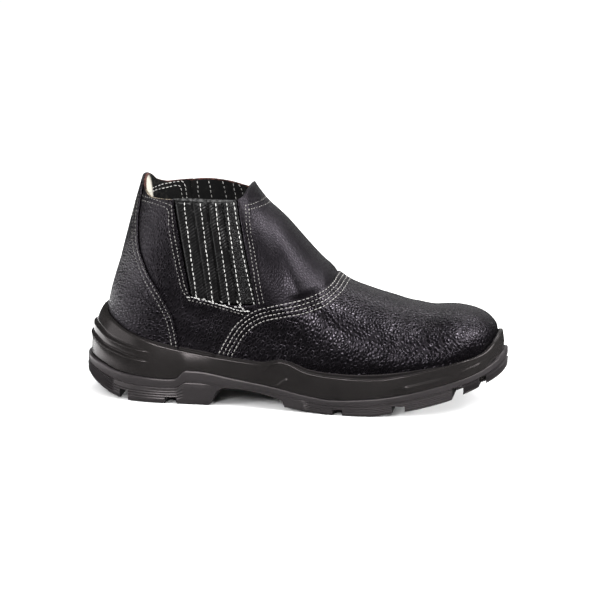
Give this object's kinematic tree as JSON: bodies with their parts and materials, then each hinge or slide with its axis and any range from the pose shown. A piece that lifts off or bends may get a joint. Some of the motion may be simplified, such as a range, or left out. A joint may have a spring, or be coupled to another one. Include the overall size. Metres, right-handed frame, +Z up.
{
  "type": "steel toe ankle boot",
  "caption": "Black leather elastic-sided steel toe ankle boot on a moulded sole with a lipped cup, pleated elastic side panels, a stitched vamp overlay and a lugged tread with an arch.",
  "frame": {"origin": "centre of the bounding box, on the floor the boot stands on", "axes": "+X towards the toe, +Y towards the inner side of this right boot, +Z up"},
  "size_m": [0.2994, 0.109, 0.159],
  "materials": {
    "leather_upper": "black satin leather, fine grain",
    "leather_vamp": "black pebbled leather, semi-gloss",
    "leather_counter": "black grained leather, satin",
    "pleat_outer": "black leather-covered elastic, stitched pleats",
    "pleat_inner": "black leather-covered elastic, stitched pleats",
    "sole_cup": "black moulded polyurethane, semi-matt",
    "sole_tread": "dark grey moulded polyurethane, matt",
    "insole_sock": "dark grey textile sock"
  },
  "bodies": {
    "root": {"outsole": "sole_tread", "midsole": "sole_cup", "insole": "insole_sock", "upper": "leather_upper", "vamp": "leather_vamp", "counter": "leather_counter", "gore_outer": "pleat_outer", "gore_inner": "pleat_inner"}
  },
  "joints": []
}
